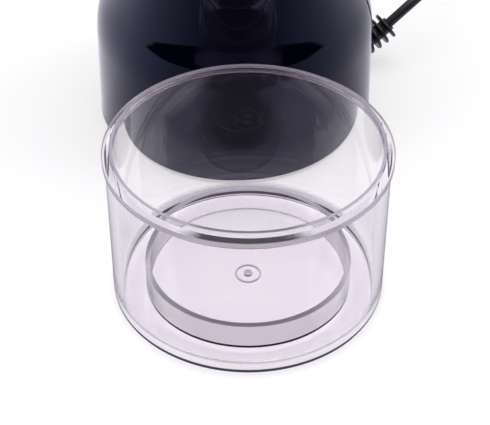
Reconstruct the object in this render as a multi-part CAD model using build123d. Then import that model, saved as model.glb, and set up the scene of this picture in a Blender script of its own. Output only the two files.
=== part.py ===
from build123d import *
from math import acos, asin, atan2, cos, degrees, hypot, pi, radians, sin, tan
import os

# Electric spice grinder with a lift-out cup and a push button.
# Sizes are in millimetres. Z is up, the table is Z = 0, the motor's axis is the
# Z axis and the button faces -Y. The lid lies mouth up in front of the base.

# Main sizes
base_radius = 55.0
neck_radius = 47.75
rim_z = 124.0
lid_height = 59.4
cord_diameter = 4.2

# Fits and margins
running_fit = 0.05
screw_clearance = 0.05
over = 1.0

# Lid
lid_x = 2.3
lid_y = -108.5
lid_wall = 3.0
lid_draft = 0.2
lid_floor = 2.2
flange_proud = 0.25
flange_step = 0.9
flange_thickness = 2.0
lip_wall = 0.95
lip_height = 2.1
ring_gap = 0.5
ring_wall = 1.8
ring_height = 9.7
lid_edge_radius = 1.2
lid_corner_radius = 2.0
gate_radius = 1.5
gate_height = 0.6
gate_ring_radius = 4.6
gate_ring_width = 0.6

# Housing
foot_gap = 1.5
foot_draft = 0.8
shoulder_z = 37.0
shoulder_arc = 45.0
waist_arc = 60.0
housing_wall = 2.5
rim_rounding = 0.8
lip_clearance = 0.35
lip_depth_clearance = 0.5

# Base cover and feet
cover_thickness = 2.5
cover_clearance = 0.5
vent_count = 16
vent_width = 2.4
vent_inner = 13.0
vent_outer = 27.0
foot_inset = 12.0
foot_radius = 7.0
foot_rounding = 1.2
foot_pocket = 0.5
pocket_gap = 0.1
foot_peg_radius = 2.3
foot_barb = 0.8
foot_barb_height = 2.2

# Screws: the large ones hold the base cover, the small ones the rest
boss_inset = 6.0
boss_radius = 4.0
boss_height = 18.0
boss_web = 3.0
screw_radius = 1.5
screw_head_radius = 2.9
screw_head = 1.2
screw_length = 13.0
small_screw_radius = 1.1
small_head_radius = 2.1
small_head = 1.3
flush_head_radius = 1.9
flush_head = 1.2
cross_slot = 0.5

# Top deck with the well that the cup stands in
deck_gap = 0.6
deck_flange_thickness = 2.5
deck_screw_inset = 2.0
deck_screws_first = 30.0
well_depth = 15.4
well_wall = 1.7
well_floor = 2.0
well_screw_gap = 0.1
hub_hole_radius = 12.6
hub_collar_wall = 2.0
hub_collar_height = 3.0
deck_post_radius = 4.2
deck_post_length = 14.0
key_ring = 28.0
key_length = 4.0
key_width = 5.0
key_height = 2.6
key_gap = 0.3
lug_height = 5.0
lug_reach = 1.8
lug_half_angle = 9.0

# Cup
cup_wall = 0.8
cup_corner = 5.0
cup_bead = 1.1
cup_ring_overlap = 2.1
well_clearance = 0.5
cup_stand_wall = 2.0
cup_socket_wall = 1.55
cup_stand_height = 12.0
cup_stand_collar = 3.0
cup_stand_floor = 2.5
rib_count = 6
rib_thickness = 1.6
rib_gap = 1.0
drive_cavity_radius = 17.0

# Blade, its bearing and the two halves of the drive
blade_shaft_radius = 3.0
bearing_radius = 6.0
bearing_flange_radius = 8.5
bearing_flange = 1.6
seal_thickness = 0.8
hub_nut_flats = 15.0
hub_nut_height = 2.3
washer_radius = 5.2
washer_thickness = 0.3
end_float = 0.1
blade_reach = 29.5
blade_width = 9.0
blade_tip_width = 6.5
blade_thickness = 1.4
blade_edge = 0.35
blade_bevel = 1.8
blade_sweep = 1.5
blade_hub_length = 15.0
blade_hub_width = 9.6
blade_hub_rounding = 2.0
blade_hub_thickness = 1.6
blade_root = 1.5
blade_bend = 3.0
blade_lift = 5.0
blade_drop = 1.6
blade_twist = 14.0
collar_height = 2.1
collar_radius = 4.5
collar_float = 0.2
cap_nut_flats = 9.0
cap_nut_height = 2.6
drive_teeth = 6
drive_radius = 8.0
drive_tooth_depth = 2.2
drive_tooth_height = 5.5
drive_fit = 0.3
drive_disc_radius = 10.4
drive_disc = 3.5
drive_hub_wall = 3.0
drive_hub = 4.0
driven_radius = 10.8
driven_recess = 3.4
driven_web = 2.0
driven_gap = 1.2
shaft_end = 1.0
seal_lip = 1.4
seal_lip_gap = 0.4
seal_height = 1.6

# Motor
shaft_radius = 3.0
stack_height = 22.0
stack_length = 54.0
stack_width = 48.0
stack_rounding = 5.0
stack_bore = 14.6
pole_half_width = 11.0
pole_shoe_radius = 17.0
pole_shoe_angle = 55.0
window_x = 19.0
window_y = 18.3
bolt_x = 22.5
bolt_y = 19.5
bolt_radius = 1.9
bolt_head_radius = 3.4
bolt_head = 2.4
bolt_depth = 4.0
coil_thickness = 6.1
coil_depth = 4.8
coil_gap = 0.4
coil_rounding = 4.0
core_radius = 14.0
core_slots = 10
core_slot_width = 2.6
core_slot_depth = 6.5
bar_gap = 0.15
winding_end = 5.0
winding_radius = 12.4
winding_bore = 0.3
commutator_radius = 10.0
commutator_length = 10.0
commutator_bars = 10
commutator_slit = 0.5
commutator_slit_depth = 1.2
commutator_gap = 6.0
commutator_collar = 1.2
bracket_plate = 3.0
bracket_post_radius = 4.0
bracket_arm_width = 9.0
bracket_eye_wall = 2.6
bracket_reach_up = 12.0
bracket_reach_down = 23.0
bearing_hub_radius = 8.5
bush_radius = 5.5
bush_length = 8.0
pad_length = 10.0
damper_thickness = 3.0
damper_radius = 5.2
fan_radius = 25.0
fan_disc = 1.5
fan_blade_height = 6.0
fan_blade_thickness = 1.2
fan_blade_bow = 2.8
fan_hub_wall = 2.6
fan_blades = 9
fan_gap = 2.5
brush_width = 6.0
brush_height = 7.0
brush_length = 13.0
holder_wall = 2.0
holder_start = 13.0
holder_length = 17.0
brush_gap = 0.15
tail_slot_width = 1.6
brush_spring_radius = 2.2
brush_spring_wire = 0.35
brush_spring_turns = 3.0

# Push button, its spring and the power switch
button_z = 82.0
button_radius = 9.7
button_gap = 0.7
button_proud = 1.1
button_rounding = 0.7
button_travel = 2.5
button_flange_radius = 11.7
button_flange = 1.5
button_guide_wall = 2.0
button_guide_depth = 1.85
button_stem_radius = 2.2
button_stem_length = 2.9
button_spring_radius = 4.6
spring_wire = 0.4
spring_turns = 4.0
press_clearance = 0.5
switch_width = 14.0
switch_height = 16.0
switch_rounding = 1.0
terminal_x = 4.0
terminal_thickness = 0.8
terminal_length = 5.0
terminal_width = 3.2
terminal_inset = 0.8
plunger_radius = 2.0
plunger_length = 4.4
plunger_gap = 0.15
bracket_thickness = 2.0
bracket_span = 38.0
bracket_height = 12.0
bracket_screw_grip = 3.0
bracket_motor_gap = 3.7
wall_boss_radius = 3.2

# Lid interlock
pin_width = 4.0
pin_thickness = 1.9
pin_under_lip = 0.5
pin_proud = 1.5
pin_rounding = 0.8
pin_travel = 2.0
pin_gap = 0.2
pin_shoulder = 1.2
pin_shoulder_height = 1.8
guide_width = 10.0
guide_height = 9.0
safety_drop = 7.0
safety_switch_width = 13.0
safety_switch_depth = 6.2
safety_switch_height = 7.0
safety_rounding = 0.6
safety_plunger_radius = 0.9
safety_plunger_gap = 0.1
safety_plunger_offset = 0.35
safety_behind_pin = 0.65
safety_floor = 1.5
safety_tab_width = 2.8
safety_tab_thickness = 0.6
safety_tab_length = 4.0
leg_thickness = 2.0
leg_depth = 5.0
leg_gap = 0.1

# Cord exit
exit_angle = 23.5
exit_lift = 6.05
relief_neck_radius = 4.2
relief_flange_radius = 5.4
relief_flange = 2.0
relief_tilt = 8.0
relief_end_tilt = 35.0
relief_bend = 34.8
relief_sink = 0.4
relief_root_radius = 3.9
relief_tip_radius = 2.95
relief_fins = 5
relief_fin_pitch = 3.4
relief_fin_root = 6.4
relief_fin_tip = 5.85
relief_fin_thickness = 1.3
relief_nose = 1.8
relief_bore_depth = 1.4
clamp_inset = 14.5
clamp_width = 18.0
clamp_depth = 6.0
clamp_thickness = 3.0
clamp_rounding = 1.0
sheath_tail = 2.0

# Cord route, coil of the spare length and plug
cord_route = [
    (64.4, 28.0, 16.35),
    (74.6, 32.4, 24.1),
    (83.9, 40.8, 27.4),
    (92.4, 55.5, 25.7),
    (96.6, 73.6, 18.2),
    (95.9, 92.6, 7.2),
    (89.8, 115.4, 3.0),
    (83.2, 127.7, 2.3),
]
coil_x = 58.1
coil_y = 114.4
coil_radius = 24.0
coil_band = 13.0
coil_height = 8.4
tie_angle = 200.0
tie_width = 9.0
tie_thickness = 0.9
plug_length = 26.0
plug_width = 20.0
plug_height = 13.0
plug_rounding = 4.0
plug_neck = 14.0
plug_x = 10.0
pin_contact_length = 17.0
pin_contact_width = 6.3
pin_contact_thickness = 1.5
pin_contact_spacing = 12.7
pin_contact_hole = 1.6
pin_contact_hole_inset = 3.6
pin_contact_chamfer = 1.2

# Wires inside: the points between their two ends
wire_radius = 0.9
wire_pitch = 1.9
wire_lead = 5.0
wire_bend = 12.0
coil_lead_x = 9.0
live_bends = [
    (25.5, 3.0, 9.6),
    (30.0, -8.0, 9.4),
    (35.5, -20.0, 15.0),
    (34.0, -27.0, 32.0),
    (22.0, -35.0, 50.0),
    (8.0, -34.0, 60.0),
]
neutral_bends = [
    (19.5, 20.0, 9.6),
    (19.0, 31.0, 13.0),
    (21.0, 36.0, 26.0),
    (12.0, 28.0, 34.0),
]
switch_bends = [
    (-9.0, -34.5, 59.0),
    (-26.0, -32.0, 52.0),
    (-38.5, -16.0, 44.0),
]
coil_bends = [
    (38.0, -9.0, 38.0),
    (34.0, -21.0, 36.5),
    (22.0, -28.0, 35.0),
]

# Capacitor
capacitor_length = 13.0
capacitor_width = 6.0
capacitor_height = 12.0
capacitor_rounding = 0.8
capacitor_inset = 19.0
capacitor_y = 18.0
capacitor_leg = 5.0
capacitor_leg_radius = 0.4
capacitor_leg_spacing = 7.5
clip_length = 8.0
clip_wall = 1.4
clip_height = 7.0

# Radii and places across the axis that follow from the sizes above
neck_bore = neck_radius - housing_wall
foot_bore = base_radius - housing_wall
cover_radius = foot_bore - cover_clearance
lid_flange_radius = neck_radius + flange_proud
lid_wall_radius = lid_flange_radius - flange_step
lid_bore_radius = lid_wall_radius - lid_wall
lid_mouth_radius = lid_bore_radius + lid_draft
lid_lip_radius = lid_mouth_radius + lip_wall
rim_seat_radius = lid_lip_radius + lip_clearance
deck_flange_radius = rim_seat_radius - deck_gap
deck_screw_ring = deck_flange_radius - deck_screw_inset
well_radius = deck_screw_ring - flush_head_radius - well_screw_gap - well_wall
cup_stand_radius = well_radius - well_clearance
cup_radius = cup_stand_radius - cup_socket_wall - running_fit
lid_ring_radius = cup_radius - cup_wall - ring_gap
boss_ring = foot_bore - boss_inset
foot_ring = cover_radius - foot_inset
clamp_ring = foot_bore - clamp_inset
capacitor_x = capacitor_inset - cover_radius
pin_y = lid_mouth_radius + pin_under_lip - pin_thickness / 2
button_face = neck_radius + button_proud
guide_end = neck_bore - button_guide_depth
stem_end = guide_end - button_flange - button_stem_length
switch_front = stem_end - button_travel - press_clearance
switch_back = window_y + bracket_motor_gap + bracket_thickness
terminal_y = -switch_back - terminal_inset
relief_start = base_radius - relief_sink
relief_wall_inside = (foot_bore - over / 2) * cos(asin(relief_flange_radius / foot_bore))
sheath_end = clamp_ring - clamp_depth / 2 - sheath_tail
plug_y = coil_y + coil_radius + coil_band / 2 - cord_diameter / 2

# Heights that follow from the sizes above
cover_top = foot_gap + cover_thickness
exit_z = cover_top + exit_lift
ledge_z = rim_z - lip_height - lip_depth_clearance
deck_flange_bottom = ledge_z - deck_flange_thickness
well_z = ledge_z - well_depth
deck_bottom = well_z - well_floor
stand_top = well_z + cup_stand_height
lid_ring_closed_z = rim_z + lid_height - lip_height - lid_floor - ring_height
cup_top = lid_ring_closed_z + cup_ring_overlap
post_bottom = deck_bottom - deck_post_length
upper_plate_top = post_bottom - damper_thickness
upper_plate_z = upper_plate_top - bracket_plate
stack_top = upper_plate_z - bracket_reach_up
stack_z = stack_top - stack_height
lower_plate_top = stack_z - bracket_reach_down
lower_plate_z = lower_plate_top - bracket_plate
fan_z = lower_plate_z - fan_gap - fan_blade_height - fan_disc
drive_top = well_z + driven_gap + driven_recess - drive_fit
drive_disc_top = drive_top - drive_tooth_height
shaft_top = drive_disc_top + shaft_end
commutator_z = stack_z - commutator_gap - commutator_length
brush_z = commutator_z + commutator_length / 2
driven_z = well_z + driven_gap
washer_z = driven_z + driven_recess + driven_web
bearing_z = washer_z + washer_thickness + end_float
shell_floor_top = stand_top + cup_wall
bearing_top = shell_floor_top + seal_thickness + bearing_flange
blade_z = bearing_top + collar_height
safety_switch_top = deck_bottom - safety_drop
safety_switch_bottom = safety_switch_top - safety_switch_height
pin_bottom_z = safety_switch_top + pin_travel + press_clearance
safety_back = pin_y + safety_behind_pin
safety_plunger_y = pin_y - safety_plunger_offset
guide_top = deck_flange_bottom + over / 2
guide_bottom = guide_top - guide_height

os.makedirs("parts", exist_ok=True)


def disc(radius, bottom, top, x=0.0, y=0.0):
    upright = (Align.CENTER, Align.CENTER, Align.MIN)
    return Pos(x, y, bottom) * Cylinder(radius, top - bottom, align=upright)


def tube(outer, inner, bottom, top, x=0.0, y=0.0):
    return disc(outer, bottom, top, x, y) - disc(inner, bottom - over, top + over, x, y)


def block(x0, x1, y0, y1, z0, z1):
    return Pos((x0 + x1) / 2, (y0 + y1) / 2, (z0 + z1) / 2) * Box(x1 - x0, y1 - y0, z1 - z0)


def rod(radius, front, back, x=0.0, z=0.0):
    """A cylinder along Y between two values of Y."""
    return Pos(x, (front + back) / 2, z) * Rot(90, 0, 0) * Cylinder(radius, back - front)


def cord_rod(radius, near, far):
    """A cylinder along the cord's way out, between two distances from the axis."""
    return Rot(0, 0, exit_angle - 90) * rod(radius, near, far, z=exit_z)


def turned(outline):
    """A closed outline of (radius, height) corners, turned about Z."""
    corners = [(radius, 0, height) for radius, height in outline]
    return revolve(make_face(Polyline(*corners, close=True)), Axis.Z)


def facing(side, shape):
    """The shape as it is for side 1, or turned half round for side -1."""
    return shape if side > 0 else Rot(0, 0, 180) * shape


def around(shape, angles):
    return [Rot(0, 0, angle) * shape for angle in angles]


def spread(count, first=0.0):
    return [first + 360.0 * step / count for step in range(count)]


def corners_of(x, y):
    return [(x, y), (-x, y), (-x, -y), (x, -y)]


def hexagon(flats, bottom, top):
    return Pos(0, 0, bottom) * extrude(RegularPolygon(flats / 2, 6, major_radius=False), top - bottom)


def coil_spring(radius, wire, turns, height):
    """A round-wire spring that stands on Z = 0 and is `height` tall over its wire."""
    rise = height - 2 * wire
    line = Pos(0, 0, wire) * Helix(rise / turns, rise, radius)
    section = Plane(origin=line @ 0, z_dir=line % 0) * Circle(wire)
    return sweep(section, path=line)


# ---- lid ----


def lid():
    """Clear cover: closed face down, thick wall, flange and spigot lip at the mouth, ring inside."""
    lip_z = lid_height - lip_height
    flange_z = lip_z - flange_thickness
    ring_top = lid_floor + ring_height
    ring_bore = lid_ring_radius - ring_wall
    gate_ring_bore = gate_ring_radius - gate_ring_width
    shell = turned([
        (0, 0),
        (lid_wall_radius, 0),
        (lid_wall_radius, flange_z),
        (lid_flange_radius, flange_z),
        (lid_flange_radius, lip_z),
        (lid_lip_radius, lip_z),
        (lid_lip_radius, lid_height),
        (lid_mouth_radius, lid_height),
        (lid_bore_radius, lid_floor),
        (0, lid_floor),
    ])
    rings = shell.edges().filter_by(GeomType.CIRCLE)
    foot = [e for e in rings if abs(e.center().Z) < 0.01]
    shell = fillet(foot, lid_edge_radius)
    rings = shell.edges().filter_by(GeomType.CIRCLE)
    corner = [e for e in rings if abs(e.center().Z - lid_floor) < 0.01]
    shell = fillet(corner, lid_corner_radius)
    ring = tube(lid_ring_radius, ring_bore, lid_floor / 2, ring_top)
    gate = disc(gate_radius, lid_floor / 2, lid_floor + gate_height)
    gate_ring = tube(gate_ring_radius, gate_ring_bore, lid_floor / 2, lid_floor + gate_height / 2)
    return Pos(lid_x, lid_y, 0) * (shell + ring + gate + gate_ring)


# ---- housing and base cover ----


def side_line(inset):
    """The housing's side from foot to rim: a drafted wall, a shoulder arc, a hollow arc and the neck."""
    draft = atan2(foot_draft, shoulder_z - foot_gap)
    shoulder_r = base_radius - foot_draft - shoulder_arc * cos(draft)
    shoulder_c = shoulder_z - shoulder_arc * sin(draft)
    reach = shoulder_arc + waist_arc
    lean = acos((neck_radius + waist_arc - shoulder_r) / reach)
    waist_r = shoulder_r + reach * cos(lean)
    waist_c = shoulder_c + reach * sin(lean)

    def on_shoulder(angle):
        radius = shoulder_arc - inset
        return (shoulder_r + radius * cos(angle), 0, shoulder_c + radius * sin(angle))

    def on_waist(angle):
        radius = waist_arc + inset
        return (waist_r - radius * cos(angle), 0, waist_c - radius * sin(angle))

    foot = (base_radius - inset / cos(draft), 0, foot_gap)
    top = (neck_radius - inset, 0, rim_z)
    return [
        Line(foot, on_shoulder(draft)),
        ThreePointArc(on_shoulder(draft), on_shoulder((draft + lean) / 2), on_shoulder(lean)),
        ThreePointArc(on_waist(lean), on_waist(lean / 2), on_waist(0)),
        Line(on_waist(0), top),
    ]


def housing_shell():
    outside = side_line(0)
    inside = side_line(housing_wall)
    rim = Line(outside[-1] @ 1, inside[-1] @ 1)
    foot = Line(outside[0] @ 0, inside[0] @ 0)
    shell = revolve(make_face([*outside, rim, *inside, foot]), Axis.Z)
    edges = shell.edges().filter_by(GeomType.CIRCLE)
    top = edges.filter_by_position(Axis.Z, rim_z - 0.01, rim_z + 0.01).sort_by(SortBy.RADIUS)[-1]
    return fillet(top, rim_rounding)


def cover_boss():
    """A screw post with the web that ties it to the wall."""
    top = cover_top + boss_height
    post = disc(boss_radius, cover_top, top, boss_ring)
    web = block(boss_ring, foot_bore + housing_wall / 3, -boss_web / 2, boss_web / 2, cover_top, top)
    hole = disc(screw_radius + screw_clearance, cover_top - over, cover_top + screw_length, boss_ring)
    return post + web - hole


def deck_lug():
    """A step on the neck's inner face that carries the deck's flange."""
    bottom = deck_flange_bottom - lug_height
    ring = tube(neck_bore + housing_wall / 3, deck_screw_ring - lug_reach, bottom, deck_flange_bottom)
    far = 2 * neck_radius
    half = far * tan(radians(lug_half_angle))
    wedge = make_face(Polyline((0, 0), (far, -half), (far, half), close=True))
    return ring & (Pos(0, 0, bottom - over) * extrude(wedge, lug_height + 2 * over))


def lug_places():
    return spread(3, deck_screws_first)


def button_guide():
    guide = rod(button_radius + button_gap + button_guide_wall, -neck_radius, -guide_end, z=button_z)
    return guide & disc(neck_radius - housing_wall / 3, button_z - neck_radius, button_z + neck_radius)


def wall_boss(side):
    """A post on the neck's inner face for one foot of the switch bracket."""
    x = side * (bracket_span / 2)
    post = rod(wall_boss_radius, -neck_radius, -switch_front, x, button_z)
    return post & disc(neck_radius - housing_wall / 3, button_z - neck_radius, button_z + neck_radius)


def housing():
    """Glossy moulded shell: drafted foot, rounded shoulder, straight neck and a rim for the lid."""
    shell = housing_shell()
    shell = shell + around(cover_boss(), spread(4))
    shell = shell + around(deck_lug(), lug_places())
    shell = shell + [button_guide(), wall_boss(1), wall_boss(-1)]
    rim_seat = disc(rim_seat_radius, ledge_z, rim_z + over)
    button_hole = rod(button_radius + button_gap, -base_radius, -guide_end + over, z=button_z)
    cord_hole = cord_rod(relief_neck_radius + screw_clearance, foot_bore - housing_wall, base_radius + over)
    small_hole = small_screw_radius + screw_clearance
    lug_hole = disc(small_hole, deck_flange_bottom - lug_height - over, rim_z, deck_screw_ring)
    deepest = -switch_front - bracket_screw_grip - over
    bracket_holes = [
        rod(small_hole, deepest, -switch_front + over, side * bracket_span / 2, button_z)
        for side in (1, -1)
    ]
    return shell - [rim_seat, button_hole, cord_hole, *around(lug_hole, lug_places()), *bracket_holes]


def foot_places():
    return spread(4, 45.0)


def base_cover():
    """Bottom plate with vent slots, foot pockets, screw seats, the cord's saddle and a clip."""
    plate = disc(cover_radius, foot_gap, cover_top)
    slot = extrude(SlotOverall(vent_outer - vent_inner, vent_width), cover_thickness + 2 * over)
    slot = Pos((vent_inner + vent_outer) / 2, 0, foot_gap - over) * slot
    pocket = disc(foot_radius + pocket_gap, foot_gap - over, foot_gap + foot_pocket, foot_ring)
    peg_hole = disc(foot_peg_radius, foot_gap - over, cover_top + over, foot_ring)
    seat = disc(screw_head_radius + pocket_gap, foot_gap - over, foot_gap + screw_head, boss_ring)
    hole = disc(screw_radius + pocket_gap, foot_gap - over, cover_top + over, boss_ring)
    plate = plate - around(slot, spread(vent_count, 180.0 / vent_count))
    plate = plate - around(pocket + peg_hole, foot_places())
    plate = plate - around(seat + hole, spread(4))
    return plate + cord_saddle() + capacitor_clip()


def clamp_cuts():
    """The cord's groove and the two screw holes, in the saddle and in the clamp alike."""
    groove = Pos(clamp_ring, 0, exit_z) * Rot(0, 90, 0) * Cylinder(cord_diameter / 2, clamp_depth + over)
    bottom = cover_top + cover_thickness / 3
    top = exit_z + clamp_thickness + over
    radius = small_screw_radius + screw_clearance
    holes = [disc(radius, bottom, top, clamp_ring, side * clamp_width / 3) for side in (1, -1)]
    return [groove, *holes]


def clamp_block(bottom, top):
    """A bar across the cord's way, from one height to another."""
    half = clamp_width / 2
    return block(clamp_ring - clamp_depth / 2, clamp_ring + clamp_depth / 2, -half, half, bottom, top)


def cord_saddle():
    """Block on the base cover that the cord lies in."""
    return Rot(0, 0, exit_angle) * (clamp_block(cover_top - over / 2, exit_z) - clamp_cuts())


def capacitor_clip():
    """Two low walls on the base cover that hold the capacitor."""
    inner = capacitor_width / 2 + pocket_gap
    outer = inner + clip_wall
    half = clip_length / 2
    wall = block(-half, half, inner, outer, cover_top - over / 2, cover_top + clip_height)
    return Pos(capacitor_x, capacitor_y, 0) * (wall + mirror(wall, Plane.XZ))


def rubber_feet():
    """Four soft feet with barbed pegs that are pulled through the cover."""
    seat = foot_gap + foot_pocket
    foot = turned([
        (0, 0),
        (foot_radius - foot_rounding, 0),
        (foot_radius - foot_rounding / 4, foot_rounding * 0.4),
        (foot_radius, seat),
        (foot_peg_radius, seat),
        (foot_peg_radius, cover_top),
        (foot_peg_radius + foot_barb, cover_top),
        (foot_peg_radius - foot_barb, cover_top + foot_barb_height),
        (0, cover_top + foot_barb_height),
    ])
    return Compound(around(Pos(foot_ring, 0, 0) * foot, foot_places()))


def pan_screw(head_radius, head, radius, length):
    """A pan-head screw standing on its head, with a cross recess; its head's seat is at Z = 0."""
    body = disc(head_radius, -head, 0) + disc(radius, 0, length)
    body = fillet(body.edges().filter_by(GeomType.CIRCLE).sort_by(Axis.Z)[0], head * 0.4)
    arm = head_radius * 1.1
    cross = Box(arm, cross_slot, head * 0.9) + Box(cross_slot, arm, head * 0.9)
    return body - Pos(0, 0, -head) * cross


def cover_screws():
    screw = pan_screw(screw_head_radius, screw_head, screw_radius, screw_length)
    return Compound(around(Pos(boss_ring, 0, foot_gap + screw_head) * screw, spread(4)))


# ---- top deck and interlock ----


def deck_screws():
    """Flush screws through the deck's flange into the housing's lugs."""
    seat = ledge_z - flush_head
    head = disc(flush_head_radius, seat, ledge_z, deck_screw_ring)
    shank = disc(small_screw_radius, deck_flange_bottom - lug_height + over / 2, seat, deck_screw_ring)
    return Compound(around(head + shank, lug_places()))


def deck_shell():
    return turned([
        (hub_hole_radius, deck_bottom),
        (well_radius + well_wall, deck_bottom),
        (well_radius + well_wall, deck_flange_bottom),
        (deck_flange_radius, deck_flange_bottom),
        (deck_flange_radius, ledge_z),
        (well_radius, ledge_z),
        (well_radius, well_z),
        (hub_hole_radius + hub_collar_wall, well_z),
        (hub_hole_radius + hub_collar_wall, well_z + hub_collar_height),
        (hub_hole_radius, well_z + hub_collar_height),
    ])


def cup_key(angle):
    """A stop in the well that a rib of the cup's stand bears on."""
    turn = degrees(asin((key_width / 2 + rib_thickness / 2 + key_gap) / key_ring))
    inner = key_ring - key_length / 2
    outer = key_ring + key_length / 2
    key = block(inner, outer, -key_width / 2, key_width / 2, well_z - over / 2, well_z + key_height)
    return Rot(0, 0, angle + turn) * key


def safety_leg(side):
    """One of the two legs under the well that the interlock's switch is pushed between."""
    inner = safety_switch_width / 2 + leg_gap
    near, far = sorted((side * inner, side * (inner + leg_thickness)))
    back = well_radius + well_wall
    return block(near, far, back - leg_depth, back, safety_switch_bottom - over, deck_bottom + over / 2)


def pin_guide():
    """Block behind the well that the interlock pin slides in."""
    half = guide_width / 2
    return block(-half, half, well_radius + well_wall / 3, pin_y + well_wall / 3, guide_bottom, guide_top)


def top_deck():
    """Moulded well for the cup, with the motor's posts, the cup's stops and the interlock's guide."""
    corners = corners_of(bolt_x, bolt_y)
    posts = [disc(deck_post_radius, post_bottom, deck_bottom + over / 2, x, y) for x, y in corners]
    keys = [cup_key(angle) for angle in spread(3)]
    deck = deck_shell() + posts + keys + [pin_guide(), safety_leg(1), safety_leg(-1)]
    bolt_hole = bolt_radius + screw_clearance
    hole_top = deck_bottom - bolt_depth + over
    bolt_holes = [disc(bolt_hole, post_bottom - over, hole_top, x, y) for x, y in corners]
    half_x = pin_width / 2 + pin_gap
    front = pin_y - pin_thickness / 2 - pin_gap
    slot = block(-half_x, half_x, front, neck_radius, guide_bottom - over, ledge_z + over)
    head = disc(flush_head_radius, ledge_z - flush_head, ledge_z + over, deck_screw_ring)
    shank = disc(small_screw_radius + screw_clearance, deck_flange_bottom - over, ledge_z, deck_screw_ring)
    return deck - [*bolt_holes, slot, *around(head + shank, lug_places())]


def interlock_pin():
    """Flat pin that the lid's lip pushes down; its shoulder stops it under the guide."""
    half_x = pin_width / 2
    front = pin_y - pin_thickness / 2
    back = pin_y + pin_thickness / 2
    pin = block(-half_x, half_x, front, back, pin_bottom_z, ledge_z + pin_proud)
    pin = fillet(pin.edges().filter_by(Axis.Y).group_by(Axis.Z)[-1], pin_rounding)
    wide = half_x + pin_shoulder
    return pin + block(-wide, wide, front, back, guide_bottom - pin_shoulder_height, guide_bottom)


def safety_switch():
    """Snap-action switch under the interlock pin, with two blade terminals."""
    half = safety_switch_width / 2
    front = safety_back - safety_switch_depth
    middle = (front + safety_back) / 2
    body = block(-half, half, front, safety_back, safety_switch_bottom, safety_switch_top)
    body = fillet(body.edges().filter_by(Axis.Y), safety_rounding)
    well = disc(safety_plunger_radius + safety_plunger_gap, safety_switch_bottom + safety_floor,
                safety_switch_top + over, 0, safety_plunger_y)
    tab = block(-safety_tab_width / 2, safety_tab_width / 2, middle, middle + safety_tab_thickness,
                safety_switch_bottom - safety_tab_length, safety_switch_bottom + over)
    shift = half - safety_tab_width
    return body - well + [Pos(shift, 0, 0) * tab, Pos(-shift, 0, 0) * tab]


def safety_plunger():
    bottom = safety_switch_bottom + safety_floor + pin_travel + over / 2
    return disc(safety_plunger_radius, bottom, pin_bottom_z, 0, safety_plunger_y)


# ---- push button and power switch ----


def button_cap():
    """Round cap whose face follows the neck, with the flange that keeps it in and the stem."""
    cap = rod(button_radius, -button_face - over, -guide_end, z=button_z)
    cap = cap & disc(button_face, button_z - 2 * button_radius, button_z + 2 * button_radius)
    seams = [e for e in cap.edges() if e.length > pi * button_radius]
    cap = fillet(min(seams, key=lambda e: e.center().Y), button_rounding)
    flange = rod(button_flange_radius, -guide_end, -guide_end + button_flange, z=button_z)
    stem = rod(button_stem_radius, -guide_end + button_flange, -stem_end, z=button_z)
    return cap + flange + stem


def button_spring():
    length = guide_end - button_flange - switch_front
    spring = coil_spring(button_spring_radius, spring_wire, spring_turns, length)
    return Pos(0, -switch_front, button_z) * Rot(90, 0, 0) * spring


def power_switch():
    """Switch body behind the button, with its terminals at the back."""
    half = switch_width / 2
    front = -switch_front
    low = button_z - switch_height / 2
    body = block(-half, half, front, -switch_back, low, low + switch_height)
    body = fillet(body.edges().filter_by(Axis.Y), switch_rounding)
    well_end = front + plunger_length + button_travel + press_clearance
    well = rod(plunger_radius + plunger_gap, front - over, well_end, z=button_z)
    near = terminal_x - terminal_thickness / 2
    tab = block(near, near + terminal_thickness, terminal_y - terminal_width, terminal_y,
                low - terminal_length, low + over)
    return body + [tab, mirror(tab, Plane.YZ)] - well


def switch_plunger():
    return rod(plunger_radius, -stem_end, -switch_front + plunger_length, z=button_z)


def switch_bracket():
    """Pressed bracket behind the switch, whose feet are screwed to the neck's wall."""
    half = bracket_span / 2
    front = -switch_front
    back = -switch_back
    low = button_z - bracket_height / 2
    high = button_z + bracket_height / 2
    outer = half - wall_boss_radius
    inner = outer - bracket_thickness
    plate = block(-outer, outer, back, back + bracket_thickness, low, high)
    arm = block(inner, outer, front, back + bracket_thickness, low, high)
    foot = block(inner, half + wall_boss_radius, front, front + bracket_thickness, low, high)
    hole_radius = small_screw_radius + screw_clearance
    hole = rod(hole_radius, front - over, front + bracket_thickness + over, half, button_z)
    side = arm + foot - hole
    return plate + side + mirror(side, Plane.YZ)


def switch_screws():
    """Two screws from inside that hold the bracket to the wall's posts."""
    length = bracket_thickness + bracket_screw_grip
    screw = pan_screw(small_head_radius, small_head, small_screw_radius, length)
    screw = Pos(0, -switch_front + bracket_thickness, button_z) * Rot(90, 0, 0) * screw
    return Compound([Pos(side * bracket_span / 2, 0, 0) * screw for side in (1, -1)])


# ---- motor ----


def motor_stator():
    """Laminated field stack: back iron, two poles with shoes round the bore and two windows."""
    outline = RectangleRounded(stack_length, stack_width, stack_rounding)
    window = Rectangle(2 * window_x, 2 * window_y)
    pole = Rectangle(2 * pole_half_width, window_y + stack_width / 2)
    shoe = Circle(pole_shoe_radius) & (Rectangle(stack_length, stack_width) - shoe_gap(1) - shoe_gap(-1))
    plate = outline - window + pole + shoe - Circle(stack_bore)
    holes = [Pos(x, y) * Circle(bolt_radius + screw_clearance) for x, y in corners_of(bolt_x, bolt_y)]
    return Pos(0, 0, stack_z) * extrude(plate - holes, stack_height)


def shoe_gap(side):
    """The wedge beside the bore that no pole shoe reaches."""
    reach = 3 * pole_shoe_radius
    rise = reach / tan(radians(pole_shoe_angle))
    return make_face(Polyline((0, 0), (side * reach, rise), (side * reach, -rise), close=True))


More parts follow.
